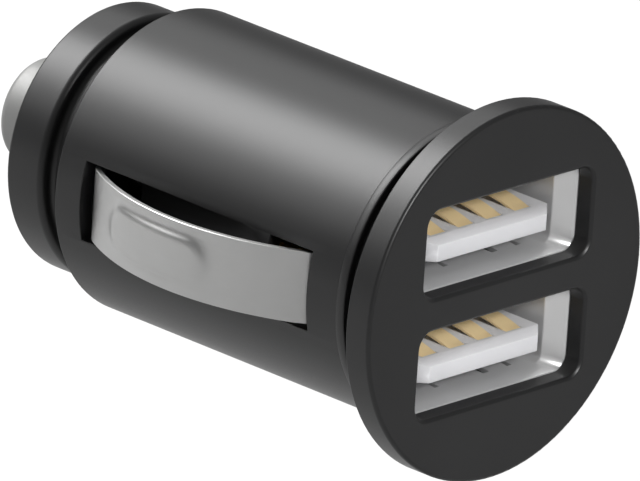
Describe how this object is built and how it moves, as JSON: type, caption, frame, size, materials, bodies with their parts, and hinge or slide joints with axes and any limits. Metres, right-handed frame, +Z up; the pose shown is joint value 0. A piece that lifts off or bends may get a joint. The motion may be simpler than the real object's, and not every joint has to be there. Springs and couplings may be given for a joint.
{
  "type": "car usb charger plug",
  "caption": "Compact charger plug for a vehicle's 12 V socket, with stacked USB receptacles in a round flange, arched leaf contacts in the barrel's sides and a sprung centre tip.",
  "frame": {"origin": "on the plug's axis, in the plane of the flange's rear face, which seats on the rim of the vehicle's socket", "axes": "+Y along the plug's axis towards its sprung tip, -Y out of the port face, +Z up with the receptacles one above the other, +X to the right seen from the port face"},
  "size_m": [0.0244, 0.0408, 0.024],
  "materials": {
    "bezel_plastic": "satin dark grey moulded plastic",
    "barrel_plastic": "satin dark grey moulded plastic",
    "ring_plastic": "satin dark grey moulded plastic",
    "tip_plate": "bright nickel plate",
    "spring_steel": "drawn wire",
    "seat_brass": "plain brass",
    "leaf_steel": "satin nickel-plated spring strip",
    "shell_steel": "bright tin-plated sheet",
    "tongue_white": "white moulded insulator",
    "contact_gold": "gold flash on spring brass",
    "board_laminate": "green solder resist",
    "ferrite": "grey ferrite",
    "copper_wire": "enamelled copper wire",
    "can_sleeve": "bare aluminium can",
    "chip_mould": "black moulding with tinned leads",
    "fuse_body": "pale body with tinned caps",
    "chip_capacitor_body": "tan body with tinned caps",
    "chip_resistor_body": "black body with tinned caps",
    "strap_brass": "plain brass strip"
  },
  "bodies": {
    "housing": {"front_bezel": "bezel_plastic", "barrel_housing": "barrel_plastic", "nose_ring": "ring_plastic", "contact_spring": "spring_steel", "spring_seat": "seat_brass", "usb_shell_upper": "shell_steel", "usb_shell_lower": "shell_steel", "usb_tongue_upper": "tongue_white", "usb_tongue_lower": "tongue_white", "usb_contacts_upper": "contact_gold", "usb_contacts_lower": "contact_gold", "port_board": "board_laminate", "power_board": "board_laminate", "inductor_core": "ferrite", "inductor_winding": "copper_wire", "input_capacitor": "can_sleeve", "output_capacitor": "can_sleeve", "converter_chip": "chip_mould", "charge_control_chip": "chip_mould", "rectifier_diode": "chip_mould", "chip_fuse": "fuse_body", "chip_capacitors": "chip_capacitor_body", "chip_resistors": "chip_resistor_body", "ground_strap_left": "strap_brass", "ground_strap_right": "strap_brass"},
    "tip": {"centre_contact": "tip_plate"},
    "leaf_left": {"side_contact_left": "leaf_steel"},
    "leaf_right": {"side_contact_right": "leaf_steel"}
  },
  "joints": [
    {"name": "tip_slide", "type": "slide", "parent": "housing", "child": "tip", "axis": [0, -1, 0], "range_m": [0, 0.0025], "stiffness_N_per_m": 900, "springref_m": -0.003, "deforming": ["contact_spring"]},
    {"name": "leaf_left_press", "type": "hinge", "parent": "housing", "child": "leaf_left", "pos_m": [-0.00828, 0.00367, 0], "axis": [0, 0, -1], "range_deg": [0, 6], "stiffness_Nm_per_rad": 0.35, "springref_deg": -1.15},
    {"name": "leaf_right_press", "type": "hinge", "parent": "housing", "child": "leaf_right", "pos_m": [0.00828, 0.00367, 0], "axis": [0, 0, 1], "range_deg": [0, 6], "stiffness_Nm_per_rad": 0.35, "springref_deg": -1.15}
  ]
}
